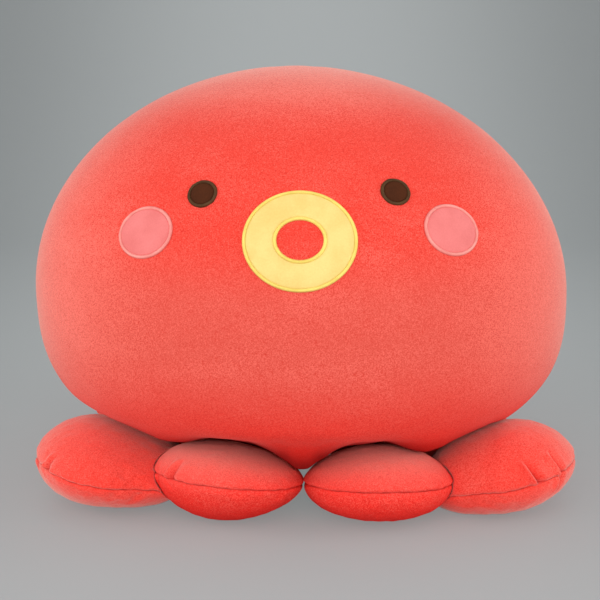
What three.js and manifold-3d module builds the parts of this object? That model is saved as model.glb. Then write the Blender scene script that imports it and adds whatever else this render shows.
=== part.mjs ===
import * as THREE from 'three';
import { mergeVertices } from 'three/addons/utils/BufferGeometryUtils.js';
import Module from 'manifold-3d';

// A stuffed octopus toy, in millimetres. The face looks along -Y, Z is up, and the toy stands on Z = 0.

// Fabric and fits
const panelThickness = 2;
const seamGap = 0.3;
const overrun = 5;

// Body: an oval dome, fuller below its widest height than above it
const bodyHalfWidth = 190;
const bodyHalfDepth = 160;
const bodyUnderside = 32;
const bodyDrop = 112;
const bodyRise = 159;
const bodyTopExponent = 1.95;
const bodyLowExponent = 2.75;
const bodySeamSetback = 38;
const baseEdgeInset = 60;
const bodyWidest = bodyUnderside + bodyDrop;

// Feet: eight flat pads in a ring under the edge of the body
const footHalfWidth = 50.5;
const footHalfLength = 45.5;
const frontFootHalfHeight = 26.5;
const sideFootHalfHeight = 29.5;
const footExponent = 2.15;
const footSeamDepth = 1.2;
const footSeamHalfWidth = 2.2;
const footGap = 1;
const soleCut = 0.5;
const frontFootInset = 71;
const frontFootTurn = THREE.MathUtils.degToRad(15);
const sideFootTurn = THREE.MathUtils.degToRad(72);
const sideRearFootTurn = THREE.MathUtils.degToRad(108);
const frontFootTilt = THREE.MathUtils.degToRad(13);
const sideFootTilt = THREE.MathUtils.degToRad(6);
const sideFootBearing = THREE.MathUtils.degToRad(17);
const sideRearFootBearing = THREE.MathUtils.degToRad(107);
const rearFootBearing = THREE.MathUtils.degToRad(132);

// Face: fabric pieces and satin-stitch borders that lie on the curve of the front panel
const appliqueThickness = 1.2;
const stitchThickness = 1.8;
const stitchWidth = 2.4;
const mouthHeight = 209.5;
const mouthHalfWidth = 36.2;
const mouthHalfHeight = 32.6;
const mouthHoleHalfWidth = 15;
const mouthHoleHalfHeight = 13;
const eyeHeight = 235.5;
const eyeHalfSpacing = 61;
const eyeHalfWidth = 9.7;
const eyeHalfHeight = 9.1;
const cheekHeight = 210.5;
const cheekHalfSpacing = 98.3;
const cheekHalfWidth = 19.7;
const cheekHalfHeight = 16.4;
const cheekRoll = THREE.MathUtils.degToRad(9);

// Facets
const bodySegments = 32;
const bodyRings = 8;
const footSegments = 16;
const footRings = 3;
const ovalSegments = 32;
const smallOvalSegments = 20;

const plushRed = new THREE.Color('#f2604f');
const feltYellow = new THREE.Color('#f8e296');
const feltBrown = new THREE.Color('#57301d');
const feltPink = new THREE.Color('#f08a84');
const fibreWhite = new THREE.Color('#f4f1ea');
const fabricRoughness = 1;
const threadRoughness = 0.6;

const wasm = await Module();
wasm.setup();

// A solid from a closed three.js geometry, without the collapsed triangles at its poles
function solidOf(geometry) {
  geometry.deleteAttribute('normal');
  geometry.deleteAttribute('uv');
  const merged = mergeVertices(geometry);
  const corners = merged.index.array;
  const triangles = [];
  for (let i = 0; i < corners.length; i += 3) {
    const [a, b, c] = corners.slice(i, i + 3);
    if (a !== b && b !== c && c !== a) triangles.push(a, b, c);
  }
  return new wasm.Manifold(new wasm.Mesh({
    numProp: 3,
    vertProperties: merged.attributes.position.array,
    triVerts: Uint32Array.from(triangles),
  }));
}

function place(solid, matrix) {
  return solid.transform(matrix.elements);
}

function meshOf(name, solid, color, roughness = fabricRoughness) {
  const result = solid.getMesh();
  const geometry = new THREE.BufferGeometry();
  geometry.setAttribute('position', new THREE.BufferAttribute(result.vertProperties, 3));
  geometry.setIndex(new THREE.BufferAttribute(result.triVerts, 1));
  geometry.computeVertexNormals();
  const mesh = new THREE.Mesh(geometry, new THREE.MeshStandardMaterial({ color, roughness, metalness: 0 }));
  mesh.name = name;
  return mesh;
}

// A stuffed form: a turned profile of two quarter superellipses, stretched to an oval
function turned(profile, halfWidth, halfDepth, segments) {
  const geometry = new THREE.LatheGeometry(profile, segments);
  geometry.rotateX(Math.PI / 2);
  geometry.scale(halfWidth, halfDepth, 1);
  return solidOf(geometry);
}

function quarter(rings, rise, exponent) {
  const points = [];
  for (let ring = 1; ring <= rings; ring += 1) {
    const angle = (ring / rings) * (Math.PI / 2);
    const radiusShare = ring === rings ? 0 : Math.cos(angle) ** (2 / exponent);
    points.push(new THREE.Vector2(radiusShare, rise * Math.sin(angle) ** (2 / exponent)));
  }
  return points;
}

// Body

function bodyForm(growth, segments = bodySegments, rings = bodyRings) {
  const lower = quarter(rings, -(bodyDrop + growth), bodyLowExponent).reverse();
  const upper = quarter(rings, bodyRise + growth, bodyTopExponent);
  const profile = [...lower, new THREE.Vector2(1, 0), ...upper];
  const form = turned(profile, bodyHalfWidth + growth, bodyHalfDepth + growth, segments);
  return form.translate([0, 0, bodyWidest]);
}

// A box that runs past the whole toy on five sides of a plane, to trim solids with
const reach = 2 * (bodyHalfWidth + bodyHalfDepth + bodyRise);

function behind(setback) {
  const box = new THREE.BoxGeometry(reach, reach, reach);
  box.translate(0, setback + reach / 2, 0);
  return solidOf(box);
}

function above(height) {
  const box = new THREE.BoxGeometry(reach, reach, reach);
  box.translate(0, 0, height + reach / 2);
  return solidOf(box);
}

function baseCutter(growth) {
  const cutter = new THREE.CylinderGeometry(1, 1, bodyWidest, bodySegments);
  cutter.rotateX(Math.PI / 2);
  cutter.translate(0, 0, bodyWidest / 2);
  cutter.scale(bodyHalfWidth - baseEdgeInset + growth, bodyHalfDepth - baseEdgeInset + growth, 1);
  return solidOf(cutter);
}

function bodyPieces() {
  const cover = bodyForm(0).subtract(bodyForm(-panelThickness));
  const sides = cover.subtract(baseCutter(seamGap));
  const front = sides.subtract(behind(bodySeamSetback));
  const back = sides.intersect(behind(bodySeamSetback + seamGap));
  const base = cover.intersect(baseCutter(0));
  const stuffing = bodyForm(-panelThickness - seamGap, bodySegments / 2, bodyRings / 2);
  return [
    meshOf('body_front_panel', front, plushRed),
    meshOf('body_back_panel', back, plushRed),
    meshOf('body_base_panel', base, plushRed),
    meshOf('body_stuffing', stuffing, fibreWhite),
  ];
}

// Feet

// The outside of a foot is drawn in along its seam. The layers inside it are plain.
function footForm(halfHeight, growth, segments = footSegments) {
  const rise = halfHeight + growth;
  const lower = quarter(footRings, -rise, footExponent).reverse();
  const upper = quarter(footRings, rise, footExponent);
  const seamShare = 1 - footSeamDepth / footHalfLength;
  const drawnIn = [
    new THREE.Vector2(1, -footSeamHalfWidth),
    new THREE.Vector2(seamShare, 0),
    new THREE.Vector2(1, footSeamHalfWidth),
  ];
  const rim = growth < 0 ? [new THREE.Vector2(1, 0)] : drawnIn;
  const profile = [...lower, ...rim, ...upper];
  return turned(profile, footHalfWidth + growth, footHalfLength + growth, segments);
}

// How far a foot reaches from its middle along a bearing, both turned from straight ahead
function footReach(turn, bearing) {
  return Math.hypot(footHalfWidth * Math.cos(bearing - turn), footHalfLength * Math.sin(bearing - turn));
}

// Where the feet of the right half lie. The front pair meet in the middle, and each of the next two lies
// against the one before it. The rear pair closes the ring.
function footPlaces() {
  const front = {
    x: footReach(frontFootTurn, 0) + footGap / 2,
    y: frontFootInset - bodyHalfDepth,
    turn: frontFootTurn,
    tilt: frontFootTilt,
    halfHeight: frontFootHalfHeight,
  };
  const sideFront = nextFoot(front, sideFootBearing, sideFootTurn);
  const sideRear = nextFoot(sideFront, sideRearFootBearing, sideRearFootTurn);
  const rear = { ...front, turn: Math.PI - frontFootTurn };
  const stride = footStride(sideRear.turn, rearFootBearing, rear.turn);
  rear.y = sideRear.y + Math.sqrt(stride ** 2 - (sideRear.x - rear.x) ** 2);
  return { front, sideFront, sideRear, rear };
}

function footStride(lastTurn, bearing, turn) {
  return footReach(lastTurn, bearing) + footReach(turn, bearing) + footGap;
}

function nextFoot(last, bearing, turn) {
  const stride = footStride(last.turn, bearing, turn);
  return {
    x: last.x + stride * Math.cos(bearing),
    y: last.y + stride * Math.sin(bearing),
    turn,
    tilt: sideFootTilt,
    halfHeight: sideFootHalfHeight,
  };
}

function footPieces(name, foot) {
  const upright = new THREE.Matrix4().makeRotationZ(foot.turn);
  upright.multiply(new THREE.Matrix4().makeRotationX(-foot.tilt));
  const lowest = place(footForm(foot.halfHeight, 0), upright).boundingBox().min[2];
  const middle = new THREE.Vector3(foot.x, foot.y, -soleCut - lowest);
  const matrix = upright.clone().setPosition(middle);
  const form = (growth, segments) => {
    const whole = place(footForm(foot.halfHeight, growth, segments), matrix);
    return whole.subtract(bodyForm(seamGap - growth));
  };
  const pad = form(0).intersect(above(0));
  const cover = pad.subtract(form(-panelThickness));
  const upper = cover.intersect(place(above(seamGap / 2), matrix));
  const lower = cover.subtract(place(above(-seamGap / 2), matrix));
  const stuffing = form(-panelThickness - seamGap, footSegments / 2);

  // The foot turns about the seam at its inner end, so its group stands there
  const hinge = new THREE.Vector3(0, footHalfLength, 0).applyMatrix4(matrix);
  hinge.z = (hinge.z + bodyUnderside) / 2;
  const group = new THREE.Group();
  group.position.copy(hinge);
  group.rotation.z = foot.turn;
  group.updateMatrix();
  const toGroup = group.matrix.clone().invert();
  group.add(
    meshOf(`foot_${name}_upper_panel`, place(upper, toGroup), plushRed),
    meshOf(`foot_${name}_lower_panel`, place(lower, toGroup), plushRed),
    meshOf(`foot_${name}_stuffing`, place(stuffing, toGroup), fibreWhite),
  );
  return group;
}

function ringOfFeet() {
  const { front, sideFront, sideRear, rear } = footPlaces();
  const groups = [];
  for (const [hand, handName] of [[-1, 'left'], [1, 'right']]) {
    const onSide = (foot) => ({ ...foot, x: hand * foot.x, turn: hand * foot.turn });
    groups.push(footPieces(`front_${handName}`, onSide(front)));
    groups.push(footPieces(`side_front_${handName}`, onSide(sideFront)));
    groups.push(footPieces(`side_rear_${handName}`, onSide(sideRear)));
    groups.push(footPieces(`rear_${handName}`, onSide(rear)));
  }
  return groups;
}

// Face

// The point of the front panel at a place in the front view, with the outward normal there
function onFront(x, z) {
  const inDome = z > bodyWidest;
  const exponent = inDome ? bodyTopExponent : bodyLowExponent;
  const rise = inDome ? bodyRise : bodyDrop;
  const heightShare = Math.abs(z - bodyWidest) / rise;
  const radiusShare = (1 - heightShare ** exponent) ** (1 / exponent);
  const y = -bodyHalfDepth * Math.sqrt(radiusShare ** 2 - (x / bodyHalfWidth) ** 2);
  const steepness = radiusShare ** (exponent - 2);
  const normal = new THREE.Vector3(
    (steepness * x) / bodyHalfWidth ** 2,
    (steepness * y) / bodyHalfDepth ** 2,
    (Math.sign(z - bodyWidest) * heightShare ** (exponent - 1)) / rise,
  );
  return { point: new THREE.Vector3(x, y, z), normal: normal.normalize() };
}

// A frame on the front panel: its Z points out of the panel and its X runs level, rolled about Z
function faceFrame(x, z, roll) {
  const { point, normal } = onFront(x, z);
  const level = new THREE.Vector3(0, 0, 1).cross(normal).normalize();
  const upward = new THREE.Vector3().crossVectors(normal, level);
  const matrix = new THREE.Matrix4().makeBasis(level, upward, normal);
  matrix.multiply(new THREE.Matrix4().makeRotationZ(roll));
  return matrix.setPosition(point);
}

function ovalCutter(halfWidth, halfHeight, depth, segments) {
  const cutter = new THREE.CylinderGeometry(1, 1, depth, segments);
  cutter.rotateX(Math.PI / 2);
  cutter.scale(halfWidth, halfHeight, 1);
  return solidOf(cutter);
}

// A layer of fabric or thread that lies on the front panel, between two ovals
function layerOn(frame, outer, inner, thickness, segments) {
  const depth = 2 * outer.halfWidth;
  let column = ovalCutter(outer.halfWidth, outer.halfHeight, depth, segments);
  if (inner) {
    column = column.subtract(ovalCutter(inner.halfWidth, inner.halfHeight, depth + overrun, segments));
  }
  const layer = bodyForm(seamGap + thickness).subtract(bodyForm(seamGap));
  return layer.intersect(place(column, frame));
}

function inset(oval, amount) {
  return { halfWidth: oval.halfWidth - amount, halfHeight: oval.halfHeight - amount };
}

function disc(name, x, z, roll, oval, color) {
  const frame = faceFrame(x, z, roll);
  const stitchInner = inset(oval, stitchWidth);
  const patch = layerOn(frame, inset(stitchInner, seamGap), null, appliqueThickness, smallOvalSegments);
  const stitching = layerOn(frame, oval, stitchInner, stitchThickness, smallOvalSegments);
  return [meshOf(name, patch, color), meshOf(`${name}_stitching`, stitching, color, threadRoughness)];
}

function mouth() {
  const frame = faceFrame(0, mouthHeight, 0);
  const rim = { halfWidth: mouthHalfWidth, halfHeight: mouthHalfHeight };
  const hole = { halfWidth: mouthHoleHalfWidth, halfHeight: mouthHoleHalfHeight };
  const ringOuter = inset(rim, stitchWidth);
  const ringInner = inset(hole, -stitchWidth);
  const ringEdges = [inset(ringOuter, seamGap), inset(ringInner, -seamGap)];
  const fabric = layerOn(frame, ...ringEdges, appliqueThickness, ovalSegments);
  const outerStitching = layerOn(frame, rim, ringOuter, stitchThickness, ovalSegments);
  const innerStitching = layerOn(frame, ringInner, hole, stitchThickness, ovalSegments);
  return [
    meshOf('mouth_ring', fabric, feltYellow),
    meshOf('mouth_outer_stitching', outerStitching, feltYellow, threadRoughness),
    meshOf('mouth_inner_stitching', innerStitching, feltYellow, threadRoughness),
  ];
}

function face() {
  const pieces = mouth();
  const eye = { halfWidth: eyeHalfWidth, halfHeight: eyeHalfHeight };
  const cheek = { halfWidth: cheekHalfWidth, halfHeight: cheekHalfHeight };
  for (const [hand, handName] of [[-1, 'left'], [1, 'right']]) {
    pieces.push(...disc(`eye_${handName}`, hand * eyeHalfSpacing, eyeHeight, 0, eye, feltBrown));
    const roll = -hand * cheekRoll;
    pieces.push(...disc(`cheek_${handName}`, hand * cheekHalfSpacing, cheekHeight, roll, cheek, feltPink));
  }
  return pieces;
}

const octopus = new THREE.Group();
octopus.add(...bodyPieces(), ...ringOfFeet(), ...face());

export default octopus;
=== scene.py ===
import math

import bmesh
import bpy
import numpy as np
from mathutils import Matrix, Vector, noise


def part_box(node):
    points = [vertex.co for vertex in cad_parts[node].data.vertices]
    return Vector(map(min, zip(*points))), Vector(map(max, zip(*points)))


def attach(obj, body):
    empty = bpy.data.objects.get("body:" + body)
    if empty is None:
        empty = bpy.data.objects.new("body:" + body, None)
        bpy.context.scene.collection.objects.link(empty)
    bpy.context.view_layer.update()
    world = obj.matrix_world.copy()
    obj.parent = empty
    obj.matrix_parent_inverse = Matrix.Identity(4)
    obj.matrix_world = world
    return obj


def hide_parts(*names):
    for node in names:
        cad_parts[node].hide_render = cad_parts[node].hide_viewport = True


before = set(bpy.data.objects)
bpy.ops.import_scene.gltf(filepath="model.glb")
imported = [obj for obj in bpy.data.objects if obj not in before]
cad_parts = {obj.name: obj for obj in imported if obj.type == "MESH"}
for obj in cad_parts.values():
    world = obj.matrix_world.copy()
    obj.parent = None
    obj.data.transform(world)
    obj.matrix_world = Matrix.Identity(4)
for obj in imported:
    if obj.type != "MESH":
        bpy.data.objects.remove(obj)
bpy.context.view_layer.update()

# Sizes are in metres and angles in degrees. The face looks along -Y and the toy stands on Z = 0.

photo = {
    "side": 600,          # pixels
    "focal": 1395,        # pixels
    "sensor": 36,         # millimetres
    "eye": (-0.0019, -0.991, 0.392),
    "pitch": 14.6,
    "nearest": 0.05,
}

room = {
    "floor": (0.235, 0.243, 0.242),
    "bounce": (0.52, 0.53, 0.53),     # the paper's own paleness, which lights the underside
    "glow": (0.200, 0.212, 0.211),    # added where the camera sees the paper, most near the toy
    "farGlow": (0.045, 0.050, 0.049),
    "glowFades": (0.1, 0.6),
    "glowShape": (1.0, 0.12, 0.3),    # it reaches further along Y and Z than along X
    "mottle": 40.0,                   # noise cells per metre
    "mottleNoise": (2.0, 0.5),        # detail and roughness
    "mottleDark": 0.985,
    "constants": {"Roughness": 0.9, "Specular IOR Level": 0.1, "Emission Strength": 1.0},
    "halfWidth": 3.0,
    "front": -2.5,
    "back": 1.6,
    "height": 3.0,
    "bend": 0.8,
    "bendSteps": 24,
    "sky": (0.93, 0.96, 1.0),
    "skyLevel": 0.67,
    "seenSky": (0.31, 0.325, 0.325),
}

lampColour = (1.0, 0.99, 0.98)
lampTarget = Vector((0, 0, 0.13))
lamps = [
    {"name": "keyLamp", "place": (-0.3, -1.65, 1.10), "size": 1.5, "watts": 7.4},
    {"name": "frontLamp", "place": (0.15, -2.1, 0.55), "size": 1.3, "watts": 13.0},
    {"name": "leftLamp", "place": (-1.7, -0.5, 0.7), "size": 1.2, "watts": 9.4},
    {"name": "rightLamp", "place": (1.7, -0.5, 0.7), "size": 1.2, "watts": 9.4},
]

nearZero = 1e-9                   # keeps a division from failing
leastWeight = 0.004               # a lighter point stays out of its vertex group
seedSteps = (7.31, 3.77, 5.19)    # how far apart two seeds lie in the noise


# Helpers for meshes

def selectNone():
    for other in bpy.context.selected_objects:
        other.select_set(False)


def selectOnly(*pieces):
    selectNone()
    for piece in pieces:
        piece.select_set(True)
    bpy.context.view_layer.objects.active = pieces[0]


def named(name):
    piece = bpy.context.object
    piece.name = piece.data.name = name
    return piece


def editMode():
    bpy.ops.object.mode_set(mode="EDIT")


def objectMode():
    bpy.ops.object.mode_set(mode="OBJECT")


def pointsOf(piece):
    points = np.empty(len(piece.data.vertices) * 3)
    piece.data.vertices.foreach_get("co", points)
    return points.reshape(-1, 3)


def setPoints(piece, points):
    piece.data.vertices.foreach_set("co", np.asarray(points, np.float32).ravel())
    piece.data.update()


def applyModifier(piece, kind, **settings):
    selectOnly(piece)
    modifier = piece.modifiers.new(kind.lower(), kind)
    for name, value in settings.items():
        setattr(modifier, name, value)
    bpy.ops.object.modifier_apply(modifier=modifier.name)


def subdivided(piece, levels):
    applyModifier(piece, "SUBSURF", levels=levels, render_levels=levels)


def copied(piece, name):
    twin = piece.copy()
    twin.data = piece.data.copy()
    twin.name = twin.data.name = name
    bpy.context.scene.collection.objects.link(twin)
    return twin


def placed(piece, matrix):
    piece.data.transform(matrix)
    if matrix.determinant() < 0:
        piece.data.flip_normals()
    piece.data.update()


def weigh(piece, groupName, weights):
    group = piece.vertex_groups.new(name=groupName)
    for index in np.nonzero(weights > leastWeight)[0]:
        group.add([int(index)], float(weights[index]), "REPLACE")


def smooth(piece):
    selectOnly(piece)
    bpy.ops.object.shade_smooth()


def roundedCube(name, squares):
    selectNone()
    bpy.ops.mesh.primitive_cube_add(size=2)
    ball = named(name)
    editMode()
    bpy.ops.mesh.subdivide(number_cuts=squares - 1)
    objectMode()
    spread = np.tan(pointsOf(ball) * math.pi / 4)
    setPoints(ball, spread / np.linalg.norm(spread, axis=1)[:, None])
    return ball


def superOval(directions, halfWidth, halfDepth, rise, drop, topPower, lowPower):
    above = directions[:, 2] >= 0
    power = np.where(above, topPower, lowPower)
    flat = np.hypot(directions[:, 0], directions[:, 1])
    reach = (flat ** power + np.abs(directions[:, 2]) ** power) ** (-1 / power)
    height = np.where(above, rise, drop)
    halves = np.stack([np.full(len(height), halfWidth), np.full(len(height), halfDepth), height], 1)
    return directions * reach[:, None] * halves


def ovalShare(points, oval):
    return np.hypot(points[:, 0] / oval[0], points[:, 1] / oval[1])


def wander(points, scale, seed):
    offset = Vector([seed * step for step in seedSteps])
    return np.array([noise.noise(Vector(point) * scale + offset) for point in points])


# Fabric that is blown up by its filling: Blender's cloth, for a few frames, with its travel capped

def inflate(piece, seamWeights, settings):
    weigh(piece, "seam", seamWeights)
    selectOnly(piece)
    cloth = piece.modifiers.new("filling", "CLOTH")
    fabric = cloth.settings
    fabric.use_pressure = True
    fabric.uniform_pressure_force = settings["pressure"]
    fabric.quality = settings["quality"]
    fabric.mass = settings["mass"]
    fabric.tension_stiffness = settings["tension"]
    fabric.compression_stiffness = settings["tension"]
    fabric.shear_stiffness = settings["shear"]
    fabric.bending_stiffness = settings["bending"]
    fabric.vertex_group_shrink = "seam"
    fabric.shrink_max = settings["seamShrink"]
    fabric.effector_weights.gravity = 0
    cloth.collision_settings.use_collision = False
    cloth.point_cache.frame_start = 1
    cloth.point_cache.frame_end = settings["frames"] + 1
    for step in range(1, settings["frames"] + 1):
        bpy.context.scene.frame_set(step)
    bpy.ops.object.modifier_apply(modifier=cloth.name)
    bpy.context.scene.frame_set(1)
    piece.vertex_groups.clear()


# Each round takes every move halfway to the mean of those beside it

def ironed(piece, moves, rounds):
    ends = np.empty(len(piece.data.edges) * 2, np.int32)
    piece.data.edges.foreach_get("vertices", ends)
    first, second = ends.reshape(-1, 2).T
    count = len(moves)
    edgesAt = np.bincount(ends, minlength=count)[:, None]
    for _ in range(rounds):
        total = [
            np.bincount(first, part[second], count) + np.bincount(second, part[first], count)
            for part in moves.T]
        moves = 0.5 * moves + 0.5 * np.stack(total, 1) / edgesAt
    return moves


# The filled fabric keeps its wrinkles and takes its broad shape from the form

def keepWrinkles(piece, start, form, settings):
    relief = pointsOf(piece) - start
    relief -= ironed(piece, relief, settings["ironing"])
    length = np.linalg.norm(relief, axis=1)
    average, most = 1000 * length.mean(), 1000 * length.max()
    print(f"{piece.name} filled, wrinkles {average:.2f} mm on average and {most:.1f} mm at most")
    share = np.minimum(1, settings["cap"] / np.maximum(length, nearZero))
    setPoints(piece, form + relief * share[:, None])


def fading(values, full, none):
    share = np.clip((values - none) / (full - none), 0, 1)
    return share * share * (3 - 2 * share)


# Camera, floor and lamps

def makeCamera():
    lens = photo["focal"] / photo["side"] * photo["sensor"]
    bpy.ops.object.camera_add(location=photo["eye"], rotation=(math.radians(90 - photo["pitch"]), 0, 0))
    camera = named("photoCamera")
    camera.data.sensor_width = photo["sensor"]
    camera.data.lens = lens
    camera.data.clip_start = photo["nearest"]
    bpy.context.scene.camera = camera


def makeLamps():
    for lamp in lamps:
        place = Vector(lamp["place"])
        turn = (lampTarget - place).to_track_quat("-Z", "Y").to_euler()
        bpy.ops.object.light_add(type="AREA", location=place, rotation=turn)
        light = named(lamp["name"])
        light.data.shape = "DISK"
        light.data.size = lamp["size"]
        light.data.energy = lamp["watts"]
        light.data.color = lampColour


def makeRoom():
    selectNone()
    bpy.ops.mesh.primitive_plane_add(size=1)
    floor = named("studioFloor")
    corners = [
        (x * 2 * room["halfWidth"], room["back"] if y > 0 else room["front"], 0)
        for x, y, z in pointsOf(floor)]
    setPoints(floor, corners)
    selectOnly(floor)
    editMode()
    bpy.ops.mesh.select_all(action="DESELECT")
    objectMode()
    for edge in floor.data.edges:
        edge.select = all(floor.data.vertices[i].co.y > 0 for i in edge.vertices)
    editMode()
    bpy.ops.mesh.extrude_edges_move(TRANSFORM_OT_translate={"value": (0, 0, room["height"])})
    objectMode()
    applyModifier(
        floor, "BEVEL", width=room["bend"], segments=room["bendSteps"], limit_method="ANGLE", affect="EDGES")
    smooth(floor)
    return floor


print("camera, floor and lamps")
selectNone()
makeCamera()
makeLamps()
studioFloor = makeRoom()
bpy.context.scene.view_settings.view_transform = "Standard"


# Shader maths in plain expressions: a Wire is one output socket

class Wire:
    def __init__(self, tree, socket):
        self.tree = tree
        self.socket = socket

    def node(self, kind, settings=None, inputs=None, output=0):
        made = self.tree.nodes.new(kind)
        for name, value in (settings or {}).items():
            setattr(made, name, value)
        for name, value in (inputs or {}).items():
            if isinstance(value, Wire):
                self.tree.links.new(value.socket, made.inputs[name])
            else:
                made.inputs[name].default_value = value
        return Wire(self.tree, made.outputs[output])

    def math(self, operation, *values, clamp=False):
        chosen = {"operation": operation, "use_clamp": clamp}
        return self.node("ShaderNodeMath", chosen, dict(enumerate(values)))

    def __add__(self, other):
        return self.math("ADD", self, other)

    def __sub__(self, other):
        return self.math("SUBTRACT", self, other)

    def __rsub__(self, other):
        return self.math("SUBTRACT", other, self)

    def __mul__(self, other):
        return self.math("MULTIPLY", self, other)

    __radd__ = __add__
    __rmul__ = __mul__

    def clamped(self):
        return self.math("ADD", self, 0.0, clamp=True)

    def grain(self, scale, detail=2.0, roughness=0.5, distortion=0.0):
        inputs = {
            "Vector": self, "Scale": scale, "Detail": detail, "Roughness": roughness,
            "Distortion": distortion}
        return self.node("ShaderNodeTexNoise", {"noise_dimensions": "3D"}, inputs)

    def stretched(self, scale, turn=(0, 0, 0)):
        angles = tuple(math.radians(angle) for angle in turn)
        inputs = {"Vector": self, "Scale": scale, "Rotation": angles}
        return self.node("ShaderNodeMapping", {"vector_type": "POINT"}, inputs)

    def between(self, low, high):
        inputs = {"Value": self, "From Min": low, "From Max": high}
        return self.node("ShaderNodeMapRange", {"clamp": True, "interpolation_type": "SMOOTHSTEP"}, inputs)

    def mixed(self, first, second):
        settings = {"data_type": "RGBA", "blend_type": "MIX"}
        inputs = {0: self, 6: colour(first), 7: colour(second)}    # the factor and the colour sockets
        return self.node("ShaderNodeMix", settings, inputs, output=2)

    def bumped(self, height, strength):
        return self.node("ShaderNodeBump", None, {"Height": self, "Distance": height, "Strength": strength})


def colour(value):
    return value if isinstance(value, Wire) else (*value, 1.0)


def newMaterial(name, constants):
    material = bpy.data.materials.new(name)
    material.use_nodes = True
    tree = material.node_tree
    shader = tree.nodes["Principled BSDF"]
    for socketName, value in constants.items():
        shader.inputs[socketName].default_value = value
    coordinates = tree.nodes.new("ShaderNodeTexCoord")
    return material, shader, Wire(tree, coordinates.outputs["Object"])


def feed(shader, **wires):
    for socketName, wire in wires.items():
        wire.tree.links.new(wire.socket, shader.inputs[socketName.replace("_", " ")])


# The pile lies flat low down, is brushed up around the middle and is flatter again higher up. Its tone by
# height is partly that nap and partly painted light: painted shade in a deep red low down, and a painted
# sheen in a paler pink around the middle. Heights are in metres, a noise is its detail, roughness and
# distortion, and a scale is in noise cells per metre.

plush = {
    "constants": {
        "Roughness": 0.95,
        "Specular IOR Level": 0.15,
    },
    "deep": (0.66, 0.020, 0.012),
    # the paler tone, for both the brushed nap and the painted sheen
    "brushedAndSheen": (0.95, 0.180, 0.136),
    "sweep": ((1.0, 1.6, 2.2), (0, 25, 15)),    # how the brushed patches are drawn out and turned
    "patch": 9.0,
    "patchNoise": (3.0, 0.55, 0.6),
    "patchRising": (0.42, 0.72),
    "patchNap": 0.45,
    "streak": 36.0,
    "streakNoise": (2.0, 0.5, 0.4),
    "streakRising": (0.35, 0.75),
    "streakNap": 0.2,
    "grain": 1300.0,
    "grainNoise": (2.0, 0.6),
    "grainNap": 2.2,
    "grainDepth": 3.0,
    "grainHeight": 0.7,
    "clump": 455.0,
    "clumpNoise": (2.0, 0.55),
    "clumpNap": 0.4,
    "clumpDepth": 0.6,
    "clumpHeight": 0.5,
    "leastDepth": 0.02,
    "lowNap": 0.25,       # the share of the nap that is left where the pile lies flat
    "pile": 0.0006,
    "bump": 0.7,
}
# Each pile's sides and crown say where it gets a painted sheen, and its last colour is that of its painted
# shade
bodyPile = {
    "low": (0.88, 0.016, 0.008), "rising": (0.058, 0.140), "middle": (0.735, 0.095, 0.067),
    "falling": (0.165, 0.215), "high": (0.84, 0.053, 0.033), "nap": 0.5,
    "fuzz": 0.5, "fuzzRoughness": 0.40, "fuzzTint": (1.0, 0.85, 0.74, 1.0), "fuzzRising": (0.055, 0.130),
    "sides": (0.075, 0.185), "crown": (0.265, 0.303), "paintedSheen": 0.68, "paintedShade": (0.26, 0.004, 0.003),
}
# The front feet's own copy of the pile: painted lighter on top, where the body shades them, and painted
# darker low down
frontFootLitPile = {
    "low": (0.84, 0.012, 0.008), "rising": (0.004, 0.030), "middle": (0.94, 0.028, 0.018),
    "falling": (0.030, 0.056), "high": (1.0, 0.070, 0.048), "nap": 0.4,
    "fuzz": 1.0, "fuzzRoughness": 0.75, "fuzzTint": (1.0, 0.50, 0.42, 1.0), "fuzzRising": (0.028, 0.060),
    "sides": (0.150, 0.200), "crown": (0.265, 0.303), "paintedSheen": 0.15, "paintedShade": (0.52, 0.012, 0.008),
}
footPile = {
    "low": (0.90, 0.034, 0.022), "rising": (0.000, 0.024), "middle": (0.96, 0.050, 0.032),
    "falling": (0.036, 0.070), "high": (0.96, 0.044, 0.027), "nap": 0.6,
    "fuzz": 0.55, "fuzzRoughness": 0.50, "fuzzTint": (1.0, 0.80, 0.70, 1.0), "fuzzRising": (-0.02, -0.01),
    "sides": (0.155, 0.190), "crown": (0.255, 0.303), "paintedSheen": 0.30, "paintedShade": (0.52, 0.012, 0.008),
}


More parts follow.
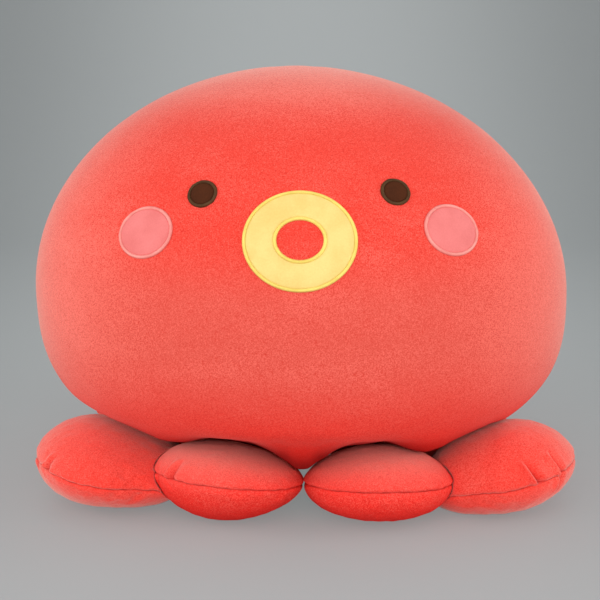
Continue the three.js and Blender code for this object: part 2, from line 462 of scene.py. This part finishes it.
def plushMaterial(name, pile):
    material, shader, place = newMaterial(name, {
        **plush["constants"], "Sheen Tint": pile["fuzzTint"], "Sheen Weight": pile["fuzz"],
        "Sheen Roughness": pile["fuzzRoughness"]})
    height = place.node("ShaderNodeSeparateXYZ", None, {"Vector": place}, output=2)
    across = place.node("ShaderNodeSeparateXYZ", None, {"Vector": place})
    sideways = across.math("ABSOLUTE", across)
    # Painted light by height: a deep red painted shade low down, a paler painted sheen around the middle
    rise = height.between(*pile["rising"])
    tone = rise.mixed(pile["low"], pile["middle"])
    tone = height.between(*pile["falling"]).mixed(tone, pile["high"])
    # Painted sheen: the sides and the crown are painted paler, where the pile's sheen would light them
    paintedSheen = sideways.between(*pile["sides"])
    paintedSheen = paintedSheen.math("MAXIMUM", paintedSheen, height.between(*pile["crown"])) * pile["paintedSheen"]
    sweep = place.stretched(*plush["sweep"])
    patches = sweep.grain(plush["patch"], *plush["patchNoise"]).between(*plush["patchRising"])
    streaks = sweep.grain(plush["streak"], *plush["streakNoise"]).between(*plush["streakRising"])
    grain = place.grain(plush["grain"], *plush["grainNoise"])
    clumps = place.grain(plush["clump"], *plush["clumpNoise"])
    clouds = (patches * plush["patchNap"] + streaks * plush["streakNap"]) * pile["nap"]
    # This nap holds the painted sheen of the sides and crown as well as the nap's clouds and grain
    nap = paintedSheen + clouds + (grain - 0.5) * plush["grainNap"] + (clumps - 0.5) * plush["clumpNap"]
    depth = (0.5 - clumps) * plush["clumpDepth"] + (0.5 - grain) * plush["grainDepth"] + plush["leastDepth"]
    upright = rise * (1 - plush["lowNap"]) + plush["lowNap"]
    tone = (nap.clamped() * upright).mixed(tone, plush["brushedAndSheen"])
    tone = depth.clamped().mixed(tone, plush["deep"])
    # Painted shade: the darker red painted into seams, folds and the body's low edge
    paintedShade = place.node("ShaderNodeAttribute", {"attribute_name": "paintedShade"}, output=2)
    tone = paintedShade.mixed(tone, pile["paintedShade"])
    bump = (grain * plush["grainHeight"] + clumps * plush["clumpHeight"]).bumped(plush["pile"], plush["bump"])
    feed(shader, Base_Color=tone, Normal=bump)
    inputs = {**plush["constants"], "Base Color": tone, "Normal": bump}
    flat = place.node("ShaderNodeBsdfPrincipled", None, inputs)
    fuzzy = Wire(place.tree, shader.outputs[0])
    inputs = {0: height.between(*pile["fuzzRising"]), 1: flat, 2: fuzzy}
    both = place.node("ShaderNodeMixShader", None, inputs)
    place.tree.links.new(both.socket, place.tree.nodes["Material Output"].inputs["Surface"])
    return material


# Felt and thread for the face, with a fine grain and broad clouds

weave = {
    "grainNoise": (2.0, 0.6),
    "grainShare": 0.7,
    "cloud": 0.06,        # its noise cells for each one of the grain's
    "cloudNoise": (2.0, 0.5),
    "cloudRising": (0.3, 0.7),
    "cloudShare": 0.5,
    "paleness": 0.2,
    "bump": 0.5,
}
softFelt = {"grain": 900.0, "pile": 0.0003, "constants": {
    "Roughness": 0.9, "Specular IOR Level": 0.15, "Sheen Weight": 0.12, "Sheen Roughness": 0.45}}
darkFelt = {"grain": 900.0, "pile": 0.0003, "constants": {"Roughness": 0.9, "Specular IOR Level": 0.12}}
paleThread = {"grain": 1400.0, "pile": 0.0001, "constants": {
    "Roughness": 0.50, "Specular IOR Level": 0.30, "Sheen Weight": 0.05}}
darkThread = {"grain": 1400.0, "pile": 0.0001, "constants": {"Roughness": 0.60, "Specular IOR Level": 0.20}}
felts = {
    "mouth": {**softFelt, "deep": (0.81, 0.55, 0.160), "pale": (0.90, 0.70, 0.255)},
    "mouthThread": {**paleThread, "deep": (0.80, 0.58, 0.10), "pale": (0.96, 0.80, 0.20)},
    "eye": {**darkFelt, "deep": (0.050, 0.014, 0.005), "pale": (0.092, 0.024, 0.007)},
    "eyeThread": {**darkThread, "deep": (0.050, 0.020, 0.006), "pale": (0.120, 0.055, 0.016)},
    "cheek": {**softFelt, "deep": (0.74, 0.165, 0.152), "pale": (0.86, 0.235, 0.220)},
    "cheekThread": {**paleThread, "deep": (0.80, 0.22, 0.19), "pale": (0.98, 0.40, 0.34)},
}


def feltMaterial(name, felt):
    material, shader, place = newMaterial(name, felt["constants"])
    fine = place.grain(felt["grain"], *weave["grainNoise"])
    broad = place.grain(felt["grain"] * weave["cloud"], *weave["cloudNoise"]).between(*weave["cloudRising"])
    pale = (fine - 0.5) * weave["grainShare"] + broad * weave["cloudShare"] + weave["paleness"]
    tone = pale.clamped().mixed(felt["deep"], felt["pale"])
    feed(shader, Base_Color=tone, Normal=fine.bumped(felt["pile"], weave["bump"]))
    return material


# Painted light: where the camera sees the paper it is darker and has a painted glow, brightest near the toy,
# that lifts the toy's shadow; light that bounces off the paper takes the paler bounce colour
def floorMaterial():
    material, shader, place = newMaterial("studioPaper", room["constants"])
    darker = tuple(room["mottleDark"] * part for part in room["floor"])
    tone = place.grain(room["mottle"], *room["mottleNoise"]).mixed(room["floor"], darker)
    shaped = place.stretched(room["glowShape"])
    away = place.node("ShaderNodeVectorMath", {"operation": "LENGTH"}, {0: shaped}, output=1)
    glow = away.between(*room["glowFades"]).mixed(room["glow"], room["farGlow"])
    seen = place.node("ShaderNodeLightPath")
    feed(shader, Base_Color=seen.mixed(room["bounce"], tone), Emission_Color=seen.mixed((0, 0, 0), glow))
    return material


print("materials")
bodyPlush = plushMaterial("bodyPlush", bodyPile)
footPlush = plushMaterial("footPlush", footPile)
frontFootPlush = plushMaterial("frontFootPlush", frontFootLitPile)
fabrics = {name: feltMaterial(name, felt) for name, felt in felts.items()}
studioFloor.data.materials.append(floorMaterial())
world = bpy.context.scene.world or bpy.data.worlds.new("studioAir")
bpy.context.scene.world = world
world.use_nodes = True
sky = world.node_tree.nodes["Background"]
light = tuple(room["skyLevel"] * part for part in room["sky"])
feed(sky, Color=Wire(world.node_tree, None).node("ShaderNodeLightPath").mixed(light, room["seenSky"]))


# Seams: a beveled edge line whose middle is drawn in, deeper at each stitch

sewing = {"pitch": 0.0030, "ripple": 0.35, "unevenScale": 150.0}
seamCut = {**sewing, "halfWidth": 0.0005, "depth": 0.0015, "uneven": 0.5}


def cutSeam(piece, isSeam, cut):
    selectOnly(piece)
    editMode()
    bpy.ops.mesh.select_mode(type="EDGE")
    bpy.ops.mesh.select_all(action="DESELECT")
    objectMode()
    for edge in piece.data.edges:
        edge.select = all(isSeam(i) for i in edge.vertices)
    editMode()
    bpy.ops.mesh.bevel(offset=cut["halfWidth"], segments=2, affect="EDGES", clamp_overlap=True)
    mesh = bmesh.from_edit_mesh(piece.data)
    mesh.normal_update()
    middle = [v for v in mesh.verts if v.select and all(face.select for face in v.link_faces)]
    drawn = []
    for v in middle:
        around = math.atan2(v.co.y, v.co.x) * math.hypot(v.co.x, v.co.y) + v.co.z
        stitch = 1 - cut["ripple"] * (0.5 + 0.5 * math.cos(2 * math.pi * around / cut["pitch"]))
        stitch *= 1 + cut["uneven"] * noise.noise(v.co * cut["unevenScale"])
        drawn.append(v.co - v.normal * cut["depth"] * stitch)
    for v, place in zip(middle, drawn):
        v.co = place
    bmesh.update_edit_mesh(piece.data)
    bpy.ops.mesh.select_mode(type="VERT")
    objectMode()


# Feet: X runs along the foot's inner seam, -Y is its outer end. A tuck is a short fold that runs up or down
# from the seam: the degrees from the outer end, how long and deep it is, how far its tip leans, and its side.

foot = {
    "squares": 36,
    "slack": 0.985,                      # the fabric's size before it is filled, as a share
    "crumple": 0.0006,
    "crumpleScale": 160.0,
    "onSeam": 1e-5,
    "fullWeight": 0.99,
    "seamCut": {**sewing, "halfWidth": 0.0008, "depth": 0.0019, "uneven": 0.8},
    "seamShade": 0.0006,                 # how far over and under the seam its shade reaches
    "seamShadeMean": 0.65,
    "seamShadeUneven": 0.6,
    "seamShadeScale": 220.0,
    "seamShadeSeed": 3,
    "puff": (0.0003, 0.0009),            # lower and upper panel
    "puffReach": 0.0022,
    "nearPole": 1e-6,
    "meander": 0.0007,                   # how far the seam wanders up and down
    "meanderReach": 0.004,
    "meanderScales": (70.0, 260.0),      # broad and fine
    "meanderFine": 0.6,
    "sole": 0.0008,                      # how deep the underside is pressed flat
    "standsTo": 0.010,                   # it stands on what lies outward of this along the foot
    "clear": 0.0005,                     # to what the foot gives way to
    "spreading": (60, 40, 20, 10, 0),    # how many rounds smooth each of its moves
}
# Places and widths across a tuck are in tuck widths, from its crease
tuck = {
    "width": 0.0018,
    "overSeam": 0.0008,
    "tipPower": 0.8,
    "lip": 0.5,
    "lipRoll": (0.6, -1.9, 1.1),         # height, middle and width
    "slope": 1.2,
    "slopeRoll": (0.15, 3.5, 1.4),
    "shade": 0.75,
    "shadeMiddle": 0.3,
    "shadeWidth": 0.7,
}
footFilling = {
    "pressure": 5.0, "quality": 5, "mass": 0.3, "tension": 15.0, "shear": 5.0, "bending": 0.2,
    "seamShrink": 0.03, "frames": 20, "ironing": 40, "cap": 0.003,
}
feet = {
    "front_left": {
        "half": (0.0515, 0.0450), "up": 0.0235, "down": 0.0300, "powers": (2.1, 1.8), "taper": 0.12,
        "innerPower": 2.0, "turn": -9, "tilt": 12, "roll": 3, "shift": (-0.0005, 0.0040), "seed": 1,
        "inner": 1.0, "tucks": [(-40, 0.016, 0.0058, 0.003, 1), (-62, 0.008, 0.0020, 0, -1)],
    },
    "front_right": {
        "half": (0.0515, 0.0455), "up": 0.0265, "down": 0.0255, "powers": (1.85, 2.15), "taper": -0.03,
        "innerPower": 2.0, "turn": 15, "tilt": 12.5, "roll": 4, "shift": (0.0015, 0.0010), "seed": 2,
        "inner": 1.0, "tucks": [],
    },
    "side_front_left": {
        "half": (0.0535, 0.0460), "up": 0.0265, "down": 0.0305, "powers": (1.9, 2.1), "taper": 0.20,
        "innerPower": 2.8, "turn": -74.5, "tilt": 8.5, "roll": 1.5, "shift": (0.0025, 0.0025), "seed": 3,
        "inner": 1.36, "tucks": [(24, 0.013, 0.0040, 0.003, 1), (4, 0.008, 0.0020, 0, -1)],
    },
    "side_front_right": {
        "half": (0.0520, 0.0455), "up": 0.0345, "down": 0.0250, "powers": (1.85, 2.15), "taper": 0.14,
        "innerPower": 2.8, "turn": 71.5, "tilt": 13.5, "roll": 0.5, "shift": (0.0030, 0.0020), "seed": 4,
        "inner": 1.36,
        "tucks": [
            (-52, 0.019, 0.0066, -0.006, 1),
            (-29, 0.018, 0.0062, -0.001, 1),
            (-29, 0.016, 0.0040, -0.004, -1),
        ],
    },
    "side_rear_left": {
        "turn": -108, "tilt": 4, "roll": 0, "shift": (0.005, 0.003), "like": "side_front_left",
    },
    "side_rear_right": {
        "turn": 108, "tilt": 4, "roll": 0, "shift": (-0.005, 0.003), "like": "side_front_left",
    },
    "rear_left": {"turn": -165, "tilt": 13, "roll": 0, "shift": (0, 0), "like": "front_right"},
    "rear_right": {"turn": 165, "tilt": 13, "roll": 0, "shift": (0, 0), "like": "front_right"},
}
# Each foot gives way to the body and to the neighbour that was laid down before it
neighbours = {
    "side_front_left": "front_left",
    "side_front_right": "front_right",
    "side_rear_left": "side_front_left",
    "side_rear_right": "side_front_right",
    "rear_left": "side_rear_left",
    "rear_right": "side_rear_right",
}


def footMiddle(name):
    corners = [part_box(f"foot_{name}_{panel}_panel") for panel in ("upper", "lower")]
    low = Vector(map(min, corners[0][0], corners[1][0]))
    high = Vector(map(max, corners[0][1], corners[1][1]))
    return (low + high) / 2 + Vector((*feet[name]["shift"], 0))


def footForm(plan, directions, share):
    halfWidth, halfLength = (share * half for half in plan["half"])
    up, down = share * plan["up"], share * plan["down"]
    points = superOval(directions, halfWidth, halfLength, up, down, *plan["powers"])
    points[:, 2] *= 1 - plan["taper"] * directions[:, 0]
    flat = np.maximum(np.hypot(directions[:, 0], directions[:, 1]), nearZero)
    bearing = np.abs(directions[:, :2]) / flat[:, None]
    corner = (bearing ** plan["innerPower"]).sum(axis=1) ** (-1 / plan["innerPower"])
    points[:, :2] *= np.where(directions[:, 1] > 0, corner, 1)[:, None]
    points[:, 1] *= np.where(directions[:, 1] > 0, plan["inner"], 1)
    return points


def footPad(name, plan):
    pad = roundedCube(name, foot["squares"])
    directions = pointsOf(pad)
    onSeam = (np.abs(directions[:, 2]) < foot["onSeam"]).astype(float)
    start = footForm(plan, directions, foot["slack"])
    crumpled = start.copy()
    crumpled[:, 2] += foot["crumple"] * wander(start, foot["crumpleScale"], plan["seed"])
    setPoints(pad, crumpled)
    inflate(pad, onSeam, footFilling)
    keepWrinkles(pad, start, footForm(plan, directions, 1), footFilling)
    weigh(pad, "seam", onSeam)
    subdivided(pad, 1)
    seam = pad.vertex_groups["seam"].index
    heavy = {
        v.index for v in pad.data.vertices
        if any(g.group == seam and g.weight > foot["fullWeight"] for g in v.groups)}
    pad.vertex_groups.clear()
    cutSeam(pad, heavy.__contains__, foot["seamCut"])
    # Painted shade along the seam, uneven along its length
    points = pointsOf(pad)
    uneven = wander(points, foot["seamShadeScale"], foot["seamShadeSeed"])
    darkness = (foot["seamShadeMean"] + foot["seamShadeUneven"] * uneven).clip(0, 1)
    shade(pad, np.exp(-(points[:, 2] / foot["seamShade"]) ** 2) * darkness)
    puffPanels(pad, plan["seed"])
    for fold in plan["tucks"]:
        foldTuck(pad, plan, *fold)
    return pad


# Painted shade: a seam, a fold or the body's low edge is painted a darker red where it lies in shade

def shade(pad, values):
    paintedShade = pad.data.attributes.get("paintedShade") or pad.data.attributes.new("paintedShade", "FLOAT", "POINT")
    known = np.empty(len(pad.data.vertices), np.float32)
    paintedShade.data.foreach_get("value", known)
    paintedShade.data.foreach_set("value", np.maximum(known, values).astype(np.float32))


# Both panels swell beside the seam that holds them in, the upper one more

def puffPanels(pad, seed):
    points = pointsOf(pad)
    away = np.abs(points[:, 2]) / foot["puffReach"]
    swell = np.where(points[:, 2] > 0, foot["puff"][1], foot["puff"][0]) * away * np.exp(1 - away)
    outward = points[:, :2] / np.linalg.norm(points[:, :2], axis=1)[:, None].clip(foot["nearPole"])
    points[:, :2] += outward * swell[:, None]
    beside = np.exp(-(points[:, 2] / foot["meanderReach"]) ** 2)
    broad, fine = (wander(points, scale, seed) for scale in foot["meanderScales"])
    points[:, 2] += foot["meander"] * beside * (broad + foot["meanderFine"] * fine)
    setPoints(pad, points)


def rolled(across, height, middle, width):
    return height * np.exp(-((across - middle) / width) ** 2)


def foldTuck(pad, plan, degrees, length, depth, lean, side):
    points = pointsOf(pad)
    halfWidth, halfLength = plan["half"]
    angle = math.radians(degrees)
    outward = np.array([math.sin(angle) * halfWidth, -math.cos(angle) * halfLength, 0])
    along = np.array([math.cos(angle), math.sin(angle), 0])
    rise = points[:, 2] * side
    inwards = np.hypot(rise, np.linalg.norm(outward) - np.linalg.norm(points[:, :2], axis=1))
    across = ((points - outward) @ along - lean * inwards / length) / tuck["width"]
    sameSide = fading(rise, tuck["overSeam"], -tuck["overSeam"]) * (points @ outward > 0)
    fade = np.clip(1 - inwards / length, 0, 1) ** tuck["tipPower"] * sameSide
    lip = np.exp(np.minimum(across, 0) / tuck["lip"]) - rolled(across, *tuck["lipRoll"])
    slope = np.exp(-np.maximum(across, 0) / tuck["slope"]) - rolled(across, *tuck["slopeRoll"])
    fold = np.where(across < 0, lip, slope)
    # Painted shade in the fold
    shade(pad, tuck["shade"] * fade * np.exp(-np.abs(across - tuck["shadeMiddle"]) / tuck["shadeWidth"]))
    inward = -points / (halfWidth ** 2, halfLength ** 2, plan["up"] ** 2)
    inward /= np.linalg.norm(inward, axis=1)[:, None]
    setPoints(pad, points + inward * (depth * fade * fold)[:, None])


def standFoot(pad, name, plan):
    outerPart = pointsOf(pad)[:, 1] < foot["standsTo"]
    turned = Matrix.Rotation(math.radians(plan["turn"]), 4, "Z")
    turned @= Matrix.Rotation(-math.radians(plan["tilt"]), 4, "X")
    turned @= Matrix.Rotation(math.radians(plan["roll"]), 4, "Y")
    placed(pad, turned)
    points = pointsOf(pad)
    middle = footMiddle(name)
    points += (middle.x, middle.y, -foot["sole"] - points[outerPart, 2].min())
    points[:, 2] = np.maximum(points[:, 2], 0)
    setPoints(pad, points)
    giveWay(pad, bodyCushion)
    if name in neighbours:
        giveWay(pad, footPads[neighbours[name]])


# What stands in the firmer piece moves out of it. The move is spread over the fabric beside it, so that it
# stays smooth.

def giveWay(pad, firmer):
    for rounds in foot["spreading"]:
        start = pointsOf(pad)
        applyModifier(
            pad, "SHRINKWRAP", target=firmer, wrap_method="NEAREST_SURFACEPOINT", wrap_mode="OUTSIDE",
            offset=foot["clear"])
        setPoints(pad, start + ironed(pad, pointsOf(pad) - start, rounds))


def pieceName(name):
    first, *rest = name.split("_")
    return first + "".join(word.capitalize() for word in rest)


# Body

body = {
    "halfWidth": 0.192,
    "halfDepth": 0.160,
    "widest": 0.144,
    "rise": 0.159,
    "drop": 0.112,
    "topPower": 1.98,
    "lowPower": 2.78,
    "squares": 48,
    "lean": 0.026,
    "leanFrom": 0.110,
    "leanBelow": 0.020,      # the lean goes on this far below leanFrom
    "slack": 0.001,
    "seamBehind": 0.038,
    "baseSeam": 0.0395,
    "seamReach": 0.006,
    "onSeam": 1e-6,
}
bodyFilling = {
    "pressure": 4.0, "quality": 5, "mass": 0.3, "tension": 15.0, "shear": 5.0, "bending": 0.5,
    "seamShrink": 0.02, "frames": 20, "ironing": 60, "cap": 0.002,
}
# Where a foot presses the body's edge up, or the filling bulges down between two feet: the middle, how far it
# reaches to the left and to the right, and the lift

dent = {
    "front": [
        (-0.048, (0.054, 0.046), 0.0145),
        (-0.001, (0.012, 0.012), -0.0040),
        (0.044, (0.044, 0.041), 0.0126),
        (0.089, (0.012, 0.012), -0.0020),
    ],
    "rear": [
        (-0.050, (0.050, 0.045), 0.0035),
        (0.050, (0.045, 0.050), 0.0035),
    ],
    "sides": [
        (-0.130, (0.060, 0.052), 0.0080),
        (0.124, (0.030, 0.020), 0.0045),
    ],
    "turns": 0.03,        # the front turns into the rear between this far ahead of the middle and behind it
    "edge": (0.136, 0.114),
    "fullShare": 0.80,
    "noShare": 0.42,
    "fullAcross": 0.2,    # a lift is full up to this share of its reach
    "fullHeight": 0.046,
    "noHeight": 0.086,
    "shadeTo": 0.076,
    "shadeFull": 0.050,
    "shade": 0.85,
}


def bodySurface(directions, growth):
    return superOval(
        directions, body["halfWidth"] + growth, body["halfDepth"] + growth,
        body["rise"] + growth, body["drop"] + growth, body["topPower"], body["lowPower"])


def besideSeam(values, place):
    return np.exp(-((values - place) / body["seamReach"]) ** 2)


def makeBody():
    cushion = roundedCube("bodyCushion", body["squares"])
    directions = pointsOf(cushion)
    start = bodySurface(directions, -body["slack"]) + (0, 0, body["widest"])
    setPoints(cushion, start)
    sideSeam = besideSeam(start[:, 1], body["seamBehind"]) * (start[:, 2] > body["baseSeam"])
    baseSeam = besideSeam(start[:, 2], body["baseSeam"])
    inflate(cushion, np.maximum(sideSeam, baseSeam), bodyFilling)
    keepWrinkles(cushion, start, bodySurface(directions, 0) + (0, 0, body["widest"]), bodyFilling)
    subdivided(cushion, 1)
    return cushion


def dentBody(cushion):
    points = pointsOf(cushion)
    # Painted shade: the body's low edge, under its bulge and above the feet, is painted darker red
    shade(cushion, dent["shade"] * fading(points[:, 2], dent["shadeFull"], dent["shadeTo"]))
    ahead = fading(points[:, 1], -dent["turns"], dent["turns"])
    low = fading(points[:, 2], dent["fullHeight"], dent["noHeight"])
    low *= fading(ovalShare(points, dent["edge"]), dent["fullShare"], dent["noShare"])
    for part, share in (("front", ahead), ("rear", 1 - ahead), ("sides", 1)):
        for x, (left, right), lift in dent[part]:
            across = points[:, 0] - x
            across = np.where(across < 0, -across / left, across / right)
            points[:, 2] += lift * low * share * fading(across, dent["fullAcross"], 1)
    setPoints(cushion, points)


def sewBody(cushion):
    for place, normal, axis, value in (
            ((0, body["seamBehind"], 0), (0, 1, 0), 1, body["seamBehind"]),
            ((0, 0, body["baseSeam"]), (0, 0, 1), 2, body["baseSeam"])):
        selectOnly(cushion)
        editMode()
        bpy.ops.mesh.select_all(action="SELECT")
        bpy.ops.mesh.bisect(plane_co=place, plane_no=normal)
        objectMode()
        points = pointsOf(cushion)
        onSeam = np.abs(points[:, axis] - value) < body["onSeam"]
        onSeam &= points[:, 2] > body["baseSeam"] - body["onSeam"]
        cutSeam(cushion, lambda i, onSeam=onSeam: onSeam[i], seamCut)


def leanBody(cushion):
    points = pointsOf(cushion)
    points[:, 0] -= body["lean"] * np.maximum(points[:, 2] - body["leanFrom"], -body["leanBelow"])
    setPoints(cushion, points)


print("body")
bodyCushion = makeBody()
dentBody(bodyCushion)
sewBody(bodyCushion)
leanBody(bodyCushion)
bodyCushion.data.materials.append(bodyPlush)
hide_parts("body_front_panel", "body_back_panel", "body_base_panel", "body_stuffing")


print("feet")
footPads = {}
for name, plan in feet.items():
    if "like" in plan:
        footPads[name] = copied(footPads[plan["like"]], pieceName("foot_" + name))
    else:
        footPads[name] = footPad(pieceName("foot_" + name), plan)
for name, pad in footPads.items():
    standFoot(pad, name, feet[name])
    pad.data.materials.clear()
    pad.data.materials.append(frontFootPlush if name in ("front_left", "front_right") else footPlush)
    smooth(pad)
    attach(pad, "foot_" + name)
    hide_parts(f"foot_{name}_upper_panel", f"foot_{name}_lower_panel", f"foot_{name}_stuffing")


# Face: each patch lies in a frame on the body, with its Z out of the fabric, and is wrapped onto the body

stitch = {
    "width": 0.0024,
    "height": 0.0015,
    "ridge": 0.12,           # how much lower the valleys between the threads are, as a share
    "threadWidth": 0.00050,
    "cuts": 5,
    "acrossSteps": 61,
    "uneven": 0.06,
    "unevenScale": 900.0,
}
patch = {
    "height": 0.0009,
    "crown": 0.0007,
    "edge": 0.0016,
    "under": 0.0006,         # how far the patch goes on under its stitching
    "corners": 96,
    "leastCuts": 6,
    "cutWidth": 0.0008,
    "middle": 0.04,          # the oval that closes a disc, as a share of the disc
    "onRim": 1.001,
    "uneven": 0.03,
    "unevenScale": 350.0,
    "press": 0.0009,
    "pressEdge": 0.10,
    "pressFade": 1.5,        # in edges
    "holeFrom": 0.8,
    "holeFade": 0.3,
    "lookFrom": -1.0,        # well in front of the body
    "layFrom": 0.03,         # a piece is laid on the body from this far out
    "lift": 0.0002,
    "wall": 0.0003,
}
mouthPlan = {"x": -0.0019, "z": 0.2102, "roll": 0, "outer": (0.0362, 0.0326), "hole": (0.0146, 0.0126)}
discs = {
    "eye_left": {"x": -0.0638, "z": 0.2349, "roll": 0, "outer": (0.0101, 0.0096), "kind": "eye"},
    "eye_right": {"x": 0.0587, "z": 0.2359, "roll": 0, "outer": (0.0101, 0.0096), "kind": "eye"},
    "cheek_left": {"x": -0.1011, "z": 0.2099, "roll": 9, "outer": (0.0203, 0.0174), "kind": "cheek"},
    "cheek_right": {"x": 0.0953, "z": 0.2114, "roll": -9, "outer": (0.0203, 0.0174), "kind": "cheek"},
}


def patchFrame(plan):
    start = Vector((plan["x"], patch["lookFrom"], plan["z"]))
    place, normal = bodyCushion.ray_cast(start, Vector((0, 1, 0)))[1:3]
    level = Vector((0, 0, 1)).cross(normal).normalized()
    turned = Matrix((level, normal.cross(level), normal)).transposed().to_4x4()
    return Matrix.Translation(place) @ turned @ Matrix.Rotation(math.radians(plan["roll"]), 4, "Z")


def inset(oval, amount):
    return tuple(half - amount for half in oval)


def pressBody(matrix, outer, hole=None):
    toPatch = matrix.inverted()
    local = pointsOf(bodyCushion) @ np.array(toPatch.to_3x3()).T + np.array(toPatch.translation)
    near = np.abs(local[:, 2]) < outer[0]
    edge = patch["pressEdge"]
    pressed = np.clip((1 + edge - ovalShare(local, outer)) / (patch["pressFade"] * edge), 0, 1) * near
    if hole:
        pressed *= np.clip((ovalShare(local, hole) - patch["holeFrom"]) / patch["holeFade"], 0, 1)
    pressed = pressed * pressed * (3 - 2 * pressed)
    inward = np.array(matrix.to_3x3() @ Vector((0, 0, -1)))
    setPoints(bodyCushion, pointsOf(bodyCushion) + inward * (patch["press"] * pressed)[:, None])


def ovalLoop(name, oval, corners):
    selectNone()
    bpy.ops.mesh.primitive_circle_add(vertices=corners, radius=1, fill_type="NOTHING")
    loop = named(name)
    loop.scale = (*oval, 1)
    bpy.ops.object.transform_apply(location=False, rotation=False, scale=True)
    return loop


def ovalBand(name, outer, inner, corners, cuts, closed=False):
    loops = [ovalLoop(name, outer, corners), ovalLoop(name + "Inner", inner, corners)]
    selectOnly(*loops)
    bpy.ops.object.join()
    editMode()
    bpy.ops.mesh.select_all(action="SELECT")
    bpy.ops.mesh.bridge_edge_loops(number_cuts=cuts, interpolation="LINEAR")
    objectMode()
    band = loops[0]
    if closed:
        points = pointsOf(band)
        rim = ovalShare(points, inner) < patch["onRim"]
        for edge in band.data.edges:
            edge.select = all(rim[i] for i in edge.vertices)
        editMode()
        bpy.ops.mesh.edge_face_add()
        bpy.ops.mesh.poke()
        objectMode()
    editMode()
    bpy.ops.mesh.select_all(action="SELECT")
    bpy.ops.mesh.normals_make_consistent(inside=False)
    objectMode()
    if sum(face.normal.z for face in band.data.polygons) < 0:
        band.data.flip_normals()
    return band


# How far each point lies across a band, from 0 on its inner oval to 1 on its outer one

def acrossBand(points, outer, inner):
    best = np.full(len(points), np.inf)
    share = np.zeros(len(points))
    for step in np.linspace(0, 1, stitch["acrossSteps"]):
        oval = tuple(a + (b - a) * step for a, b in zip(inner, outer))
        miss = np.abs(ovalShare(points, oval) - 1)
        share[miss < best] = step
        best = np.minimum(miss, best)
    return share


def wrapped(piece, matrix, height, heights):
    weigh(piece, "height", heights)
    piece.matrix_world = matrix @ Matrix.Translation((0, 0, patch["layFrom"]))
    applyModifier(
        piece, "SHRINKWRAP", target=bodyCushion, wrap_method="PROJECT",
        use_project_x=False, use_project_y=False, use_project_z=True,
        use_negative_direction=True, use_positive_direction=False, offset=patch["lift"])
    applyModifier(piece, "DISPLACE", direction="NORMAL", vertex_group="height", strength=height, mid_level=0)
    piece.vertex_groups.clear()
    applyModifier(piece, "SOLIDIFY", thickness=patch["wall"], offset=-1)
    selectOnly(piece)
    bpy.ops.object.transform_apply(location=True, rotation=True, scale=True)
    smooth(piece)


def stitchBand(name, matrix, outer, inner, material):
    around = math.pi * (outer[0] + outer[1])
    threads = int(around / stitch["threadWidth"])
    band = ovalBand(name, outer, inner, 2 * threads, stitch["cuts"])
    points = pointsOf(band)
    share = acrossBand(points, outer, inner)
    rounding = np.sqrt(np.clip(1 - (2 * share - 1) ** 2, 0, 1))
    oval = [inner[i] + (outer[i] - inner[i]) * share for i in (0, 1)]
    turn = np.arctan2(points[:, 1] / oval[1], points[:, 0] / oval[0]) / (2 * math.pi) * 2 * threads
    valley = np.round(turn).astype(int) % 2
    uneven = stitch["uneven"] * wander(points, stitch["unevenScale"], len(name))
    heights = np.clip(rounding * (1 - stitch["ridge"] * valley + uneven), 0, 1)
    wrapped(band, matrix, stitch["height"], heights)
    band.data.materials.append(fabrics[material])
    return band


def fabricPatch(name, matrix, outer, hole, material):
    closed = hole is None
    inner = hole or tuple(patch["middle"] * half for half in outer)
    width = outer[0] - inner[0]
    cuts = max(patch["leastCuts"], round(width / patch["cutWidth"]))
    patchPiece = ovalBand(name, outer, inner, patch["corners"], cuts, closed)
    points = pointsOf(patchPiece)
    fromEdge = (1 - ovalShare(points, outer)) * min(outer)
    if hole:
        fromEdge = np.minimum(fromEdge, (ovalShare(points, hole) - 1) * min(hole))
    total = patch["height"] + patch["crown"]
    rise = np.clip(fromEdge / patch["edge"], 0, 1)
    crown = np.clip(fromEdge / (0.5 * (width if hole else min(outer))), 0, 1)
    heights = patch["height"] * np.sqrt(1 - (1 - rise) ** 2) + patch["crown"] * np.sin(crown * math.pi / 2)
    uneven = patch["uneven"] * wander(points, patch["unevenScale"], len(name))
    wrapped(patchPiece, matrix, total, np.clip(heights / total + uneven, 0, 1))
    patchPiece.data.materials.append(fabrics[material])
    return patchPiece


def onBody(piece, slotName, node):
    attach(piece, "body")
    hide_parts(node)


def makeMouth():
    matrix = patchFrame(mouthPlan)
    outer, hole = mouthPlan["outer"], mouthPlan["hole"]
    pressBody(matrix, outer, hole)
    stitchInner = inset(outer, stitch["width"])
    holeStitchOuter = inset(hole, -stitch["width"])
    ringOuter, ringHole = inset(stitchInner, -patch["under"]), inset(holeStitchOuter, patch["under"])
    ring = fabricPatch("mouthRing", matrix, ringOuter, ringHole, "mouth")
    onBody(ring, "mouth_fabric", "mouth_ring")
    border = stitchBand("mouthOuterStitching", matrix, outer, stitchInner, "mouthThread")
    onBody(border, "mouth_thread", "mouth_outer_stitching")
    border = stitchBand("mouthInnerStitching", matrix, holeStitchOuter, hole, "mouthThread")
    onBody(border, "mouth_thread", "mouth_inner_stitching")


def makeDisc(name, plan):
    matrix = patchFrame(plan)
    outer, kind = plan["outer"], plan["kind"]
    pressBody(matrix, outer)
    stitchInner = inset(outer, stitch["width"])
    disc = fabricPatch(pieceName(name), matrix, inset(stitchInner, -patch["under"]), None, kind)
    onBody(disc, kind + "_fabric", name)
    border = stitchBand(pieceName(name + "_stitching"), matrix, outer, stitchInner, kind + "Thread")
    onBody(border, kind + "_thread", name + "_stitching")


print("face")
makeMouth()
for name, plan in discs.items():
    makeDisc(name, plan)
smooth(bodyCushion)
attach(bodyCushion, "body")
